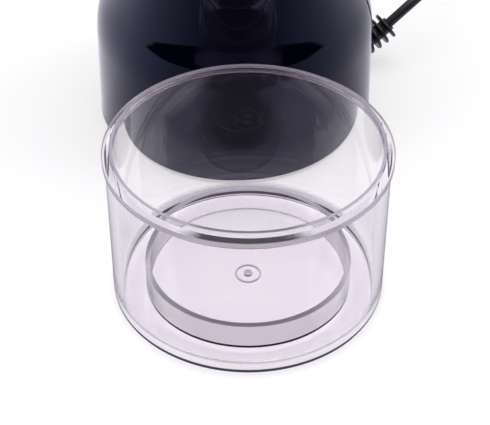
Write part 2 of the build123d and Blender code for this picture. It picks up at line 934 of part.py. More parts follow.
def field_coil(side):
    """One field winding: a loop round a pole, in the windows and over both ends of the stack."""
    inner_x = pole_half_width + coil_gap
    inner_z = stack_height / 2 + coil_gap
    hole = Rectangle(2 * inner_x, 2 * inner_z)
    outer_x = inner_x + coil_thickness
    outer_z = inner_z + coil_thickness
    loop = extrude(RectangleRounded(2 * outer_x, 2 * outer_z, coil_rounding) - hole, coil_depth)
    loop = Pos(0, window_y - coil_gap, stack_z + stack_height / 2) * Rot(90, 0, 0) * loop
    loop = fillet(loop.edges().filter_by(GeomType.LINE).group_by(Axis.Y)[0], coil_rounding / 5)
    return facing(side, loop)


def bearing_bracket(plate_z, post_from, post_to, hub_from, hub_to):
    """Four-armed casting: posts to the stack at its corners and a hub for the bush."""
    reach = hypot(bolt_x, bolt_y)
    angle = degrees(atan2(bolt_y, bolt_x))
    plate_top = plate_z + bracket_plate
    arm = block(-reach, reach, -bracket_arm_width / 2, bracket_arm_width / 2, plate_z, plate_top)
    body = Rot(0, 0, angle) * arm + Rot(0, 0, -angle) * arm + disc(bearing_hub_radius, hub_from, hub_to)
    bottom = min(plate_z, post_from) - over
    top = max(plate_top, post_to) + over
    for x, y in corners_of(bolt_x, bolt_y):
        body = body + disc(bolt_radius + bracket_eye_wall, plate_z, plate_top, x, y)
        body = body + disc(bracket_post_radius, post_from, post_to, x, y)
        body = body - disc(bolt_radius + screw_clearance, bottom, top, x, y)
    return body - disc(bush_radius, hub_from - over, hub_to + over)


def upper_bracket():
    hub_bottom = upper_plate_top - bush_length
    return bearing_bracket(upper_plate_z, stack_top, upper_plate_z, hub_bottom, upper_plate_top)


def lower_bracket():
    """The lower casting also carries the two brush holders on pads."""
    hub_top = lower_plate_z + bush_length
    body = bearing_bracket(lower_plate_z, lower_plate_top, stack_z, lower_plate_z, hub_top)
    pad_top = brush_z - brush_height / 2 - holder_wall
    middle = holder_start + holder_length / 2
    inner = middle - pad_length / 2
    outer = middle + pad_length / 2
    half = bracket_arm_width / 2
    bar = block(-outer, outer, -half, half, lower_plate_z, lower_plate_top)
    pad = block(inner, outer, -half, half, lower_plate_z, pad_top)
    return body + (bar - disc(bush_radius, 0, stack_z)) + [pad, mirror(pad, Plane.YZ)]


def bush(bottom):
    return tube(bush_radius, shaft_radius + running_fit, bottom, bottom + bush_length)


def motor_bolts():
    """Four long bolts that clamp both brackets on the stack and hang the motor from the deck."""
    length = deck_bottom - bolt_depth - lower_plate_z
    bolt = pan_screw(bolt_head_radius, bolt_head, bolt_radius, length)
    return Compound([Pos(x, y, lower_plate_z) * bolt for x, y in corners_of(bolt_x, bolt_y)])


def motor_dampers():
    """Rubber rings between the upper bracket and the deck's posts."""
    rings = []
    for x, y in corners_of(bolt_x, bolt_y):
        ring = tube(damper_radius, bolt_radius + screw_clearance, upper_plate_top, post_bottom, x, y)
        rings.append(ring)
    return Compound(rings)


def brush_holder(side):
    """Insulating box with a square tunnel for the brush and its spring."""
    half = brush_width / 2 + brush_gap
    low = brush_z - brush_height / 2
    high = brush_z + brush_height / 2 + brush_gap
    end = holder_start + holder_length
    outer = half + holder_wall
    body = block(holder_start, end, -outer, outer, low - holder_wall, high + holder_wall)
    body = fillet(body.edges().filter_by(Axis.X), holder_wall * 0.4)
    tunnel = block(holder_start - over, end - holder_wall, -half, half, low, high)
    slot_half = tail_slot_width / 2
    tail_slot = block(holder_start + 2 * holder_wall, end - 2 * holder_wall, half - over, outer + over,
                      brush_z - slot_half, brush_z + slot_half)
    return facing(side, body - [tunnel, tail_slot])


def carbon_brush(side):
    """Carbon block with a hollow end that rides on the commutator."""
    half_y = brush_width / 2
    low = brush_z - brush_height / 2
    high = low + brush_height
    brush = block(commutator_radius - over, commutator_radius + brush_length, -half_y, half_y, low, high)
    return facing(side, brush - disc(commutator_radius + running_fit, low - over, high + over))


def brush_springs():
    start = commutator_radius + brush_length
    length = holder_start + holder_length - holder_wall - start
    spring = coil_spring(brush_spring_radius, brush_spring_wire, brush_spring_turns, length)
    spring = Pos(start, 0, brush_z) * Rot(0, 90, 0) * spring
    return Compound(around(spring, [0, 180]))


def motor_shaft():
    shaft = disc(shaft_radius, fan_z - shaft_radius / 2, shaft_top)
    ends = shaft.edges().filter_by(GeomType.CIRCLE)
    return chamfer(ends, shaft_radius / 6)


def armature_core():
    """Laminated core with open slots round it."""
    plate = Circle(core_radius) - Circle(shaft_radius)
    depth = core_slot_depth
    slot = Pos(core_radius - depth / 2 + over, 0) * SlotOverall(depth + 2 * over, core_slot_width)
    mouth = Pos(core_radius, 0) * Rectangle(2 * over, core_slot_width)
    cuts = [Rot(0, 0, angle) * (slot + mouth) for angle in spread(core_slots)]
    return Pos(0, 0, stack_z) * extrude(plate - cuts, stack_height)


def armature_winding():
    """Copper bars in the slots, joined by the round end turns."""
    inner = core_radius - core_slot_depth + over
    half = core_slot_width / 2 - bar_gap
    bore = shaft_radius + winding_bore
    end = turned([
        (bore, stack_top),
        (winding_radius, stack_top),
        (winding_radius, stack_top + winding_end * 0.6),
        (winding_radius - winding_end * 0.4, stack_top + winding_end),
        (bore + winding_end * 0.2, stack_top + winding_end),
        (bore, stack_top + winding_end * 0.8),
    ])
    lower = mirror(end, Plane.XY.offset(stack_z + stack_height / 2))
    bar = block(inner, winding_radius, -half, half, stack_z - over / 2, stack_top + over / 2)
    return end + lower + around(bar, spread(core_slots))


def commutator():
    """Copper bars with gaps between them and a raised collar for the winding's ends."""
    top = commutator_z + commutator_length
    collar_radius = commutator_radius + commutator_collar
    drum = disc(commutator_radius, commutator_z, top) + disc(collar_radius, top - commutator_collar, top)
    half = commutator_slit / 2
    inner = commutator_radius - commutator_slit_depth
    groove = block(inner, collar_radius + over, -half, half, commutator_z - over, top + over)
    drum = drum - around(groove, spread(commutator_bars, 180.0 / commutator_bars))
    return drum - disc(shaft_radius, commutator_z - over, top + over)


def cooling_fan():
    """Radial fan on the lower end of the shaft, with blades curved back."""
    top = fan_z + fan_disc + fan_blade_height
    hub_radius = shaft_radius + fan_hub_wall
    tip = fan_radius - fan_blade_thickness / 2
    end = (tip * cos(0.35), tip * sin(0.35))
    line = ThreePointArc((hub_radius * 1.4, 0), (tip * 0.62, fan_blade_bow), end)
    blade = extrude(trace(line, fan_blade_thickness), fan_blade_height + fan_disc / 2)
    blade = Pos(0, 0, fan_z + fan_disc / 2) * blade
    wheel = disc(fan_radius, fan_z, fan_z + fan_disc) + disc(hub_radius, fan_z, top)
    wheel = wheel + around(blade, spread(fan_blades))
    return wheel - disc(shaft_radius, fan_z - over, top + over)


# ---- drive ----


def star(grow):
    """The drive's round-toothed star: a ring of lobes on a core, grown all round by `grow`."""
    ring = drive_radius - drive_tooth_depth
    lobe = Pos(ring, 0) * Circle(drive_tooth_depth + grow)
    return Circle(ring + grow) + [Rot(0, 0, angle) * lobe for angle in spread(drive_teeth)]


def drive_coupling():
    """Motor half of the drive: a star that stands up in the well."""
    disc_bottom = drive_disc_top - drive_disc
    body = disc(drive_disc_radius, disc_bottom, drive_disc_top)
    body = body + Pos(0, 0, drive_disc_top) * extrude(star(0), drive_top - drive_disc_top)
    body = body + disc(shaft_radius + drive_hub_wall, disc_bottom - drive_hub, disc_bottom)
    return body - disc(shaft_radius, disc_bottom - drive_hub - over, shaft_top)


def driven_coupling():
    """Cup half of the drive: a cap with a matching star hollow."""
    top = driven_z + driven_recess + driven_web
    body = disc(driven_radius, driven_z, top)
    body = chamfer(body.edges().filter_by(GeomType.CIRCLE).sort_by(Axis.Z)[-1], driven_web * 0.4)
    hollow = extrude(star(drive_fit), driven_recess + over)
    body = body - Pos(0, 0, driven_z - over) * hollow
    return body - disc(blade_shaft_radius, driven_z, top + over)


def shaft_seal():
    """Rubber splash ring round the drive, under the deck."""
    bottom = deck_bottom - seal_height
    outer = hub_hole_radius + seal_height
    inner = hub_hole_radius - seal_lip
    return turned([
        (outer, bottom),
        (outer, deck_bottom),
        (hub_hole_radius - seal_lip_gap, deck_bottom),
        (inner, deck_bottom - seal_lip_gap),
        (inner, bottom),
    ])


# ---- cup ----


def cup_shell():
    """Drawn steel cup: flat floor, rounded corner, straight wall and a rolled rim."""
    def wall_line(offset):
        radius = cup_radius - offset
        low = stand_top + offset
        bend = cup_corner - offset
        corner = (radius - bend, 0, low + bend)
        middle = (corner[0] + bend * cos(pi / 4), 0, corner[2] - bend * sin(pi / 4))
        start = (bearing_radius + running_fit, 0, low)
        knee = (corner[0], 0, low)
        side = (radius, 0, corner[2])
        top = (radius, 0, cup_top)
        return [Line(start, knee), ThreePointArc(knee, middle, side), Line(side, top)]

    outside = wall_line(0)
    inside = wall_line(cup_wall)
    rim = Line(outside[-1] @ 1, inside[-1] @ 1)
    eye = Line(outside[0] @ 0, inside[0] @ 0)
    shell = revolve(make_face([*outside, rim, *inside, eye]), Axis.Z)
    bead = Rot(90, 0, 0) * Circle(cup_bead)
    bead = Pos(cup_radius - cup_wall + cup_bead, 0, cup_top - cup_bead / 2) * bead
    return shell + revolve(bead, Axis.Z)


def cup_stand():
    """Moulded stand under the cup: skirt, ribs and the cavity for the drive."""
    floor_z = stand_top - cup_stand_floor
    inner = cup_stand_radius - cup_stand_wall
    socket = cup_radius + running_fit
    ring = drive_cavity_radius + cup_stand_wall
    body = turned([
        (bearing_radius + running_fit, floor_z),
        (drive_cavity_radius, floor_z),
        (drive_cavity_radius, well_z),
        (ring, well_z),
        (ring, floor_z),
        (inner, floor_z),
        (inner, well_z),
        (cup_stand_radius, well_z),
        (cup_stand_radius, stand_top + cup_stand_collar),
        (socket, stand_top + cup_stand_collar),
        (socket, stand_top),
        (bearing_radius + running_fit, stand_top),
    ])
    half = rib_thickness / 2
    lap = cup_stand_wall / 4
    rib = block(ring - lap, inner + lap, -half, half, well_z + rib_gap, floor_z + lap)
    return body + around(rib, spread(rib_count))


def cup_seal():
    """Silicone washer between the bearing's flange and the cup's floor."""
    return tube(bearing_flange_radius, bearing_radius, shell_floor_top, shell_floor_top + seal_thickness)


def blade_bearing():
    """Flanged bearing through the cup's floor and its stand."""
    flange_z = shell_floor_top + seal_thickness
    body = disc(bearing_radius, bearing_z, flange_z) + disc(bearing_flange_radius, flange_z, bearing_top)
    body = chamfer(body.edges().filter_by(GeomType.CIRCLE).sort_by(Axis.Z)[-1], bearing_flange / 3)
    return body - disc(blade_shaft_radius + running_fit, bearing_z - over, bearing_top + over)


def hub_nut():
    top = stand_top - cup_stand_floor
    nut = hexagon(hub_nut_flats, top - hub_nut_height, top)
    return nut - disc(bearing_radius, top - hub_nut_height - over, top + over)


# ---- blade ----


def blade_shaft():
    """Steel shaft with the collar that the blade is clamped on."""
    top = blade_z + blade_hub_thickness + cap_nut_height
    shaft = disc(blade_shaft_radius, driven_z + driven_recess, top)
    return shaft + disc(collar_radius, bearing_top + collar_float, blade_z)


def thrust_washer():
    return tube(washer_radius, blade_shaft_radius, washer_z, washer_z + washer_thickness)


def wing(rise):
    """One wing of the blade, twisted and bent out of the hub's plane, with a ground edge."""
    def section(x, width, thickness, height, sweep_back, twist):
        half = width / 2
        low = -thickness / 2
        high = thickness / 2
        ground = [(half, low), (half, low + blade_edge), (half - blade_bevel, high)]
        outline = Polyline((-half, low), *ground, (-half, high), close=True)
        place = Plane(origin=(x, sweep_back, height), x_dir=(0, 1, 0), z_dir=(1, 0, 0))
        return place * (Rot(0, 0, twist) * make_face(outline))

    middle = blade_z + blade_hub_thickness / 2
    start = blade_hub_length / 2 - blade_root
    bend = blade_hub_length / 2 + blade_bend
    root = section(start, blade_width, blade_thickness, middle, 0, 0)
    mid = section(bend, blade_width, blade_thickness, middle + rise * 0.15, 0, blade_twist / 2)
    thin = blade_thickness * 0.8
    tip = section(blade_reach, blade_tip_width, thin, middle + rise, -blade_sweep, blade_twist)
    return loft([root, mid, tip], ruled=True)


def blade():
    """Two-winged blade: one wing lifts, the other dips towards the cup's floor."""
    plate = RectangleRounded(blade_hub_length, blade_hub_width, blade_hub_rounding)
    hub = Pos(0, 0, blade_z) * extrude(plate, blade_hub_thickness)
    body = hub + wing(blade_lift) + Rot(0, 0, 180) * wing(-blade_drop)
    return body - disc(blade_shaft_radius, blade_z - over, blade_z + blade_hub_thickness + over)


def blade_nut():
    """Domed cap nut on top of the blade."""
    bottom = blade_z + blade_hub_thickness
    top = bottom + cap_nut_height
    body = hexagon(cap_nut_flats, bottom, top)
    dome = Pos(0, 0, top - cap_nut_height / 2) * Sphere(cap_nut_flats / 2)
    body = body + (dome & disc(cap_nut_flats, top - over / 4, top + cap_nut_flats))
    return body - disc(blade_shaft_radius, bottom - over, top)


# ---- cord, strain relief and plug ----


def relief_point(distance):
    """Place and outward direction on the strain relief's centreline, as (radius, height, tilt)."""
    tilt = radians(relief_tilt) + distance / relief_bend
    end = radians(relief_end_tilt)
    beyond = max(0.0, (tilt - end) * relief_bend)
    tilt = min(tilt, end)
    start = radians(relief_tilt)
    radius = relief_start + relief_bend * (sin(tilt) - sin(start)) + beyond * cos(tilt)
    height = exit_z + relief_bend * (cos(start) - cos(tilt)) + beyond * sin(tilt)
    return radius, height, tilt


def relief_plane(distance):
    radius, height, tilt = relief_point(distance)
    turn = radians(exit_angle)
    outward = (cos(tilt) * cos(turn), cos(tilt) * sin(turn), sin(tilt))
    return Plane(origin=(radius * cos(turn), radius * sin(turn), height), z_dir=outward)


def strain_relief():
    """Bent rubber boot: a neck in the wall with a flange behind it, a tapered core and round fins."""
    length = relief_bend * radians(relief_end_tilt - relief_tilt)
    total = length + relief_nose
    stations = [0.0, total * 0.33, total * 0.66, total]
    sections = []
    for station in stations:
        share = station / total
        radius = relief_root_radius + (relief_tip_radius - relief_root_radius) * share
        sections.append(relief_plane(station) * Circle(radius))
    core = loft(sections)
    inside = relief_wall_inside
    neck = cord_rod(relief_neck_radius, inside - over / 2, relief_start + over / 2)
    flange = cord_rod(relief_flange_radius, inside - relief_flange, inside)
    body = core + neck + flange
    for index in range(relief_fins):
        station = length - index * relief_fin_pitch
        share = station / total
        radius = relief_fin_root + (relief_fin_tip - relief_fin_root) * share
        fin = Cylinder(radius, relief_fin_thickness)
        fin = fillet(fin.edges().filter_by(GeomType.CIRCLE), relief_fin_thickness * 0.4)
        body = body + relief_plane(station) * fin
    bore = disc(cord_diameter / 2 + running_fit, 0, relief_bore_depth + over)
    bore = relief_plane(total - relief_bore_depth) * bore
    inner_bore = cord_rod(cord_diameter / 2 + running_fit, inside - relief_flange - over, inside + over)
    return body - [bore, inner_bore]


def cord_radii(route):
    """The largest fillet that each corner's two runs leave room for."""
    radii = []
    for before, here, after in zip(route, route[1:], route[2:]):
        arrive = Vector(*here) - Vector(*before)
        leave = Vector(*after) - Vector(*here)
        turn = radians(arrive.get_angle(leave))
        radii.append(0.45 * min(arrive.length, leave.length) / tan(turn / 2))
    return radii


def power_cord():
    radii = cord_radii(cord_route)
    print("cord radii", [round(r, 1) for r in radii])
    path = FilletPolyline(*cord_route, radius=radii)
    section = Plane(origin=path @ 0, z_dir=path % 0) * Circle(cord_diameter / 2)
    cord = sweep(section, path=path)
    expected = pi * (cord_diameter / 2) ** 2 * path.length
    print("cord length", round(path.length, 1), "volume share", round(cord.volume / expected, 4))
    return cord


def inner_cord():
    """The sheathed end of the cord from the strain relief's flange to past the clamp."""
    return cord_rod(cord_diameter / 2, sheath_end, relief_wall_inside + over / 2)


def cord_clamp():
    """Bar that presses the cord into the cover's saddle."""
    bar = clamp_block(exit_z, exit_z + clamp_thickness)
    bar = fillet(bar.edges().filter_by(Axis.Z), clamp_rounding)
    return Rot(0, 0, exit_angle) * (bar - clamp_cuts())


def clamp_screws():
    length = clamp_thickness + exit_lift * 0.75
    screw = Rot(180, 0, 0) * pan_screw(small_head_radius, small_head, small_screw_radius, length)
    screw = Pos(clamp_ring, 0, exit_z + clamp_thickness) * screw
    turn = Rot(0, 0, exit_angle)
    return Compound([turn * Pos(0, side * clamp_width / 3, 0) * screw for side in (1, -1)])


def sheath_lead(side):
    """Where a wire leaves the cord's sheath, and the point it runs straight to."""
    turn = radians(exit_angle)
    shift = side * wire_pitch / 2
    leads = []
    for distance in (sheath_end, sheath_end - wire_lead):
        x = distance * cos(turn) - shift * sin(turn)
        y = distance * sin(turn) + shift * cos(turn)
        leads.append((x, y, exit_z))
    return leads


def terminal_lead(side):
    """The point under a terminal of the power switch, and the terminal's lower end."""
    y = terminal_y - terminal_width / 2
    end = button_z - switch_height / 2 - terminal_length
    return [(side * terminal_x, y, end - wire_lead), (side * terminal_x, y, end)]


def coil_lead(side):
    """The point under a field winding, and the winding's lower face."""
    end = stack_z - coil_gap - coil_thickness
    y = side * (window_y - coil_gap - coil_depth / 2)
    return [(coil_lead_x, y, end - wire_lead), (coil_lead_x, y, end)]


def holder_lead(side):
    """The point beyond a brush holder, and the holder's outer end."""
    end = side * (holder_start + holder_length)
    return [(end + side * wire_lead, 0, brush_z), (end, 0, brush_z)]


def wires(*routes):
    """Insulated wires, each along its own route."""
    made = []
    for route in routes:
        radii = [min(radius, wire_bend) for radius in cord_radii(route)]
        path = FilletPolyline(*route, radius=radii)
        section = Plane(origin=path @ 0, z_dir=path % 0) * Circle(wire_radius)
        made.append(sweep(section, path=path))
    return Compound(made)


def supply_wires():
    """Live wire to the power switch and neutral wire to the rear field winding."""
    live = [*sheath_lead(-1), *live_bends, *terminal_lead(1)]
    neutral = [*sheath_lead(1), *neutral_bends, *coil_lead(1)]
    return wires(live, neutral)


def motor_wires():
    """Wires from the switch to one brush, and from the other brush to the front winding."""
    from_switch = [*reversed(terminal_lead(-1)), *switch_bends, *holder_lead(-1)]
    to_winding = [*reversed(holder_lead(1)), *coil_bends, *coil_lead(-1)]
    return wires(from_switch, to_winding)


def capacitor():
    """Suppression capacitor, standing in its clip with two wire legs."""
    half_x = capacitor_length / 2
    half_y = capacitor_width / 2
    top = cover_top + capacitor_height
    box = block(-half_x, half_x, -half_y, half_y, cover_top, top)
    box = fillet(box.edges().filter_by(Axis.Z), capacitor_rounding)
    leg = disc(capacitor_leg_radius, top - over / 2, top + capacitor_leg, capacitor_leg_spacing / 2)
    return Pos(capacitor_x, capacitor_y, 0) * (box + [leg, mirror(leg, Plane.YZ)])


def coil_section(grow=0.0):
    """The outline across the coil's turns, from the table up, grown at the sides and the top."""
    height = coil_height + grow
    outline = RectangleRounded(coil_band + 2 * grow, height, cord_diameter * 0.45 + grow)
    return Pos(coil_radius, 0, height / 2) * Rot(90, 0, 0) * outline


def cord_coil():
    """The outer shape of the spare cord's turns."""
    return Pos(coil_x, coil_y, 0) * revolve(coil_section(), Axis.Z)


def coil_tie():
    """Strap over the coil's turns and down both sides of them."""
    strap = revolve(coil_section(tie_thickness) - coil_section(), Axis.Z, degrees(tie_width / coil_radius))
    strap = strap - disc(coil_radius + coil_band, -over, cord_diameter / 2)
    return Pos(coil_x, coil_y, 0) * Rot(0, 0, tie_angle) * strap


def plug_body():
    """Moulded plug that lies on its side, with a tapered neck towards the coil."""
    middle = Plane(origin=(plug_x, plug_y, plug_height / 2), x_dir=(0, 1, 0), z_dir=(-1, 0, 0))
    face = middle * RectangleRounded(plug_width, plug_height, plug_rounding)
    waist = RectangleRounded(plug_width * 0.8, plug_height * 0.85, plug_rounding)
    grip = middle.offset(-plug_length * 0.55) * waist
    back = middle.offset(-plug_length) * Circle(plug_height * 0.33)
    neck_end = middle.offset(-plug_length - plug_neck) * Circle(cord_diameter * 0.68)
    pairs = [(face, grip), (grip, back), (back, neck_end)]
    front, *rest = [loft([here, there], ruled=True) for here, there in pairs]
    return front + rest


def plug_blades():
    """Two flat contact blades with a hole near the tip of each."""
    z = plug_height / 2
    tip = plug_x - pin_contact_length
    half_y = pin_contact_thickness / 2
    half_z = pin_contact_width / 2
    pin = block(tip, plug_x, plug_y - half_y, plug_y + half_y, z - half_z, z + half_z)
    pin = chamfer(pin.edges().filter_by(Axis.Y).group_by(Axis.X)[0], pin_contact_chamfer)
    pin = pin - rod(pin_contact_hole, plug_y - over, plug_y + over, tip + pin_contact_hole_inset, z)
    return Compound([Pos(0, side * pin_contact_spacing / 2, 0) * pin for side in (1, -1)])


# ---- every node, written as one STEP each ----

nodes = {
    "lid": lid,
    "housing": housing,
    "base_cover": base_cover,
    "cover_screws": cover_screws,
    "rubber_feet": rubber_feet,
    "top_deck": top_deck,
    "deck_screws": deck_screws,
    "interlock_pin": interlock_pin,
    "safety_switch": safety_switch,
    "safety_plunger": safety_plunger,
    "button_cap": button_cap,
    "button_spring": button_spring,
    "power_switch": power_switch,
    "switch_plunger": switch_plunger,
    "switch_bracket": switch_bracket,
    "switch_screws": switch_screws,
    "motor_stator": motor_stator,
    "field_coil_rear": lambda: field_coil(1),
    "field_coil_front": lambda: field_coil(-1),
    "upper_bracket": upper_bracket,
    "lower_bracket": lower_bracket,
    "upper_bush": lambda: bush(upper_plate_top - bush_length),
    "lower_bush": lambda: bush(lower_plate_z),
    "motor_bolts": motor_bolts,
    "motor_dampers": motor_dampers,
    "brush_holder_right": lambda: brush_holder(1),
    "brush_holder_left": lambda: brush_holder(-1),
    "carbon_brush_right": lambda: carbon_brush(1),
    "carbon_brush_left": lambda: carbon_brush(-1),
    "brush_springs": brush_springs,
    "motor_shaft": motor_shaft,
    "armature_core": armature_core,
    "armature_winding": armature_winding,
    "commutator": commutator,
    "cooling_fan": cooling_fan,
    "drive_coupling": drive_coupling,
    "driven_coupling": driven_coupling,
    "shaft_seal": shaft_seal,
    "cup_shell": cup_shell,
    "cup_stand": cup_stand,
    "cup_seal": cup_seal,
    "blade_bearing": blade_bearing,
    "hub_nut": hub_nut,
    "blade_shaft": blade_shaft,
    "thrust_washer": thrust_washer,
    "blade": blade,
    "blade_nut": blade_nut,
    "strain_relief": strain_relief,
    "power_cord": power_cord,
    "inner_cord": inner_cord,
    "cord_clamp": cord_clamp,
    "clamp_screws": clamp_screws,
    "capacitor": capacitor,
    "supply_wires": supply_wires,
    "motor_wires": motor_wires,
    "cord_coil": cord_coil,
    "coil_tie": coil_tie,
    "plug_body": plug_body,
    "plug_blades": plug_blades,
}

for name, make in nodes.items():
    export_step(make(), f"parts/{name}.step")
print(len(nodes), "nodes written")
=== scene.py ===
import math

import bpy
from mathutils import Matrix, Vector


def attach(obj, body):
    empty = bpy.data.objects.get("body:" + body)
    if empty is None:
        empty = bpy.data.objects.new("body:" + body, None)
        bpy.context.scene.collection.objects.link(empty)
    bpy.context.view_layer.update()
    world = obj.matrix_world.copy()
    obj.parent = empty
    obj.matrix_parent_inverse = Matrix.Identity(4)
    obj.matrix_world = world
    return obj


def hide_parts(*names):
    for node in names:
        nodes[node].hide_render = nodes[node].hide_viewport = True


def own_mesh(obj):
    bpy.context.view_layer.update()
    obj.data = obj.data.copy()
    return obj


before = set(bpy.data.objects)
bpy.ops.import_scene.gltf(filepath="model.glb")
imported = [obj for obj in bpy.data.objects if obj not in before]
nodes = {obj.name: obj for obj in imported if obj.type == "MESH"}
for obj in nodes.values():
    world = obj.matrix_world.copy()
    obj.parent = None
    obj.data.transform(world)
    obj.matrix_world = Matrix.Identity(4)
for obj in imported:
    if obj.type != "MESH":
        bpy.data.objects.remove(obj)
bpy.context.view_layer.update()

millimetre = 0.001
white = (1.0, 1.0, 1.0)
smoothAngle = math.radians(35)
print("frame loaded:", len(nodes), "nodes")


def clearSelection():
    if bpy.context.object and bpy.context.object.mode != "OBJECT":
        bpy.ops.object.mode_set(mode="OBJECT")
    bpy.ops.object.select_all(action="DESELECT")


def pick(piece):  # the only one selected, and active
    clearSelection()
    piece.select_set(True)
    bpy.context.view_layer.objects.active = piece


def settle(piece):  # place, turn and size go into the mesh
    pick(piece)
    bpy.ops.object.transform_apply(location=True, rotation=True, scale=True)


def rgba(colour):
    return (*colour, 1.0)


# camera
cameraPlace = {
    "location": (-0.00848, -0.47514, 0.3379),
    "rotation": (49.94, 0.0, -1.516),
    "lens": 103.76,
    "sensor": 36.0,
}

clearSelection()
bpy.ops.object.camera_add(
    location=cameraPlace["location"],
    rotation=[math.radians(angle) for angle in cameraPlace["rotation"]],
)
camera = bpy.context.object
camera.name = "camera"
camera.data.lens = cameraPlace["lens"]
camera.data.sensor_width = cameraPlace["sensor"]
bpy.context.scene.camera = camera
print("camera placed")


# mains cord: one run from the strain relief, round the coil and into the plug
mainsCord = {
    "diameter": 4.2,
    "route": [
        (64.4, 28.0, 16.35),
        (74.6, 32.4, 24.1),
        (83.9, 40.8, 27.4),
        (92.4, 55.5, 25.7),
        (96.6, 73.6, 18.2),
        (95.9, 92.6, 7.2),
        (89.8, 115.4, 3.0),
        (83.2, 127.7, 2.3),
    ],
    "coilCentre": (58.1, 114.4),
    "outerTurn": 28.4,
    "innerTurn": 19.6,
    "turnSpacing": 4.4,
    "lowerLayer": 2.15,
    "upperLayer": 6.45,
    "firstAngle": 28.0,
    "lastAngle": 90.0,
    "wholeTurns": 5,
    "pointsPerTurn": 16,
    "climbDip": 1.9,
    "climbHaste": 1.35,
    "tail": [(53.6, 143.1, 6.5), (48.6, 142.8, 6.5)],
    "length": 0.872,
    "tubeFaces": 10,
}


def turnAt(turn, allTurns):  # radius and height of the winding after so many turns
    outer, inner, spacing = (mainsCord[name] for name in ("outerTurn", "innerTurn", "turnSpacing"))
    low, high = mainsCord["lowerLayer"], mainsCord["upperLayer"]
    goIn = (outer - inner) / spacing
    goOut = allTurns - goIn
    if turn <= goIn:
        return outer - spacing * turn, low
    if turn >= goOut:
        return outer - spacing * (allTurns - turn), high
    along = (turn - goIn) / (goOut - goIn)
    rise = 0.5 - 0.5 * math.cos(math.pi * min(1.0, along * mainsCord["climbHaste"]))
    return inner - mainsCord["climbDip"] * math.sin(math.pi * along), low + (high - low) * rise


def coilPoints():
    perTurn = mainsCord["pointsPerTurn"]
    allTurns = mainsCord["wholeTurns"] + (mainsCord["lastAngle"] - mainsCord["firstAngle"]) / 360
    steps = round(allTurns * perTurn)
    outward = 1 / (0.75 + 0.25 * math.cos(2 * math.pi / perTurn))  # a spline cuts inside its points
    centreX, centreY = mainsCord["coilCentre"]
    points = []
    for step in range(1, steps + 1):
        turn = allTurns * step / steps
        radius, height = turnAt(turn, allTurns)
        angle = math.radians(mainsCord["firstAngle"] + 360 * turn)
        points.append((
            centreX + outward * radius * math.cos(angle),
            centreY + outward * radius * math.sin(angle),
            height,
        ))
    return points


def addCord():
    line = bpy.data.curves.new("mains_cord", "CURVE")
    line.dimensions = "3D"
    run = line.splines.new("NURBS")
    points = mainsCord["route"] + coilPoints() + mainsCord["tail"]
    run.points.add(len(points) - 1)
    for point, place in zip(run.points, points):
        point.co = (*(value * millimetre for value in place), 1.0)
        point.radius = mainsCord["diameter"] * millimetre / 2
    run.order_u = 3
    run.use_endpoint_u = True
    run.resolution_u = 8
    line.bevel_depth = 1.0  # times each point's own radius
    line.bevel_resolution = mainsCord["tubeFaces"] // 2 - 1
    line.use_fill_caps = True
    piece = bpy.data.objects.new("mains_cord", line)
    bpy.context.collection.objects.link(piece)
    return piece


cordPiece = addCord()
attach(cordPiece, "base")
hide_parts("power_cord", "cord_coil")
print("cord laid:", len(cordPiece.data.splines[0].points), "points")


# tie: a soft strap round all the turns, with a buckle on top
cordTie = {
    "angle": 200.0,
    "meanTurn": 24.0,
    "width": 9.0,
    "thickness": 0.9,
    "halfSpan": 6.9,
    "top": 8.9,
    "bottom": 0.05,
    "cornerRadius": 2.3,
    "cornerSteps": 3,
    "softness": 0.18,
    "softSteps": 2,
}

tieBuckle = {
    "size": (3.4, 11.5, 1.6),
    "frame": 0.7,
    "sunk": 0.5,
    "softness": 0.25,
    "softSteps": 3,
}

alongAxis = 0.9  # a face whose normal has more than this along an axis faces that way


def addBox(name, size, height):
    clearSelection()
    bpy.ops.mesh.primitive_cube_add(size=1.0, location=(0, 0, height * millimetre))
    box = bpy.context.object
    box.name = name
    box.scale = [value * millimetre for value in size]
    bpy.ops.object.transform_apply(location=True, rotation=True, scale=True)
    return box


def startEdit(piece, kind, chosen):  # edit mode, with the faces or edges that pass the test
    bpy.ops.object.mode_set(mode="EDIT")
    bpy.ops.mesh.select_mode(type=kind)
    bpy.ops.mesh.select_all(action="DESELECT")
    bpy.ops.object.mode_set(mode="OBJECT")
    for part in piece.data.polygons if kind == "FACE" else piece.data.edges:
        part.select = chosen(part)
    bpy.ops.object.mode_set(mode="EDIT")


def soften(piece, look):
    rounding = piece.modifiers.new("soften", "BEVEL")
    rounding.width = look["softness"] * millimetre
    rounding.segments = look["softSteps"]
    rounding.limit_method = "ANGLE"
    bpy.ops.object.modifier_apply(modifier=rounding.name)


def addTie():
    top, bottom, width = cordTie["top"], cordTie["bottom"], cordTie["width"]
    strap = addBox("cord_tie", (2 * cordTie["halfSpan"], width, top - bottom), (top + bottom) / 2)

    def isOpenEnd(face):
        return abs(face.normal.y) > alongAxis

    def runsAlong(edge):
        first, second = (strap.data.vertices[index].co for index in edge.vertices)
        return abs(first.y - second.y) > width * millimetre / 2

    startEdit(strap, "FACE", isOpenEnd)
    bpy.ops.mesh.delete(type="ONLY_FACE")
    startEdit(strap, "EDGE", runsAlong)
    bpy.ops.mesh.bevel(
        offset=cordTie["cornerRadius"] * millimetre, segments=cordTie["cornerSteps"], affect="EDGES"
    )
    bpy.ops.mesh.select_all(action="SELECT")
    bpy.ops.mesh.normals_make_consistent(inside=False)
    bpy.ops.object.mode_set(mode="OBJECT")
    wall = strap.modifiers.new("wall", "SOLIDIFY")
    wall.thickness = cordTie["thickness"] * millimetre
    wall.offset = -1
    bpy.ops.object.modifier_apply(modifier=wall.name)
    soften(strap, cordTie)
    return strap


